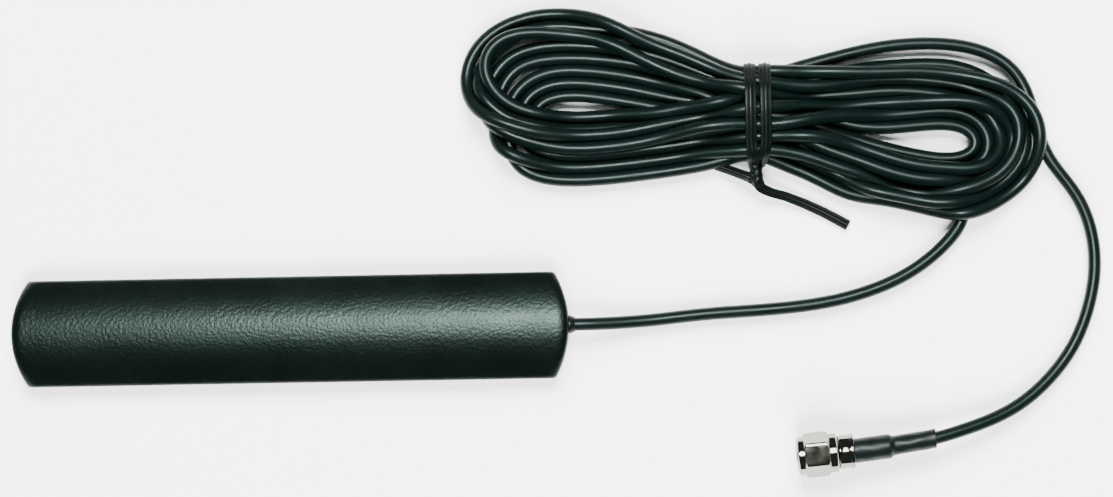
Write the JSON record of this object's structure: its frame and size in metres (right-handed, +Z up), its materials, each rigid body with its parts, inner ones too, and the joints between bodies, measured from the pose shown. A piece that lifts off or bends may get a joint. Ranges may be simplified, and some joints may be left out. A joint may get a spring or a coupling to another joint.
{
  "type": "stick-on cellular antenna",
  "caption": "Flat black stick-on antenna bar with bowed ends, a thin coaxial lead wound in a tied hank, and a small threaded hexagon plug.",
  "frame": {"origin": "centre of the bar's footprint, on the surface that it lies on", "axes": "+X along the bar towards its cable exit, +Y towards the hank, +Z up out of the domed face"},
  "size_m": [0.2243, 0.0973, 0.0087],
  "materials": {
    "housing": "black moulded plastic with a fine spark-eroded texture",
    "inner_plastic": "plain black moulded plastic",
    "board": "green solder mask",
    "copper": "copper foil",
    "solder": "tin solder",
    "foam": "closed-cell foam",
    "crimp_metal": "nickel-plated brass",
    "bushing": "black soft plastic",
    "adhesive_tape": "black acrylic foam tape",
    "liner": "siliconised paper",
    "cable_jacket": "smooth glossy black vinyl",
    "braid": "tinned copper braid",
    "dielectric": "translucent white polyethylene",
    "conductor": "copper-clad steel strands",
    "tie_strip": "black vinyl strip",
    "tie_wire": "soft iron wire",
    "nickel_plate": "bright nickel plate over turned brass",
    "spring_metal": "phosphor bronze",
    "gasket": "red silicone rubber",
    "insulator": "white fluoropolymer",
    "gold_plate": "gold flash plate",
    "heat_shrink": "black heat-shrink tubing, satin"
  },
  "bodies": {
    "antenna": {"top_cover": "housing", "base_plate": "inner_plastic", "circuit_board": "board", "radiator_arm": "copper", "ground_arm": "copper", "solder_centre": "solder", "solder_braid": "solder", "spacer_pads": "foam", "stop_ring": "crimp_metal", "entry_bushing": "bushing", "adhesive_pad": "adhesive_tape", "bar_jacket_stub": "cable_jacket", "bar_braid_stub": "braid", "bar_dielectric_stub": "dielectric", "bar_conductor_stub": "conductor", "cable_near_lead": "cable_jacket", "cable_hank": "cable_jacket", "cable_top_loop": "cable_jacket", "cable_far_lead": "cable_jacket", "twist_tie_strip": "tie_strip", "twist_tie_wire": "tie_wire", "sealing_gasket": "gasket", "connector_body": "nickel_plate", "connector_insulator": "insulator", "centre_pin": "gold_plate", "crimp_ferrule": "crimp_metal", "plug_braid": "braid", "plug_jacket_stub": "cable_jacket", "plug_dielectric_stub": "dielectric", "plug_conductor_stub": "conductor", "heat_shrink_sleeve": "heat_shrink"},
    "nut_ring": {"retaining_ring": "spring_metal"},
    "nut": {"coupling_nut": "nickel_plate"},
    "liner": {"release_liner": "liner"}
  },
  "joints": [
    {"name": "nut_float", "type": "slide", "parent": "antenna", "child": "nut_ring", "axis": [-0.9965, -0.0837, 0], "range_m": [0, 0.0002]},
    {"name": "nut_spin", "type": "hinge", "parent": "nut_ring", "child": "nut", "pos_m": [0.1037, -0.02785, 0.004], "axis": [-0.9965, -0.0837, 0], "continuous": true},
    {"name": "liner_peel", "type": "slide", "parent": "antenna", "child": "liner", "axis": [-1, 0, 0], "range_m": [0, 0.12]}
  ]
}
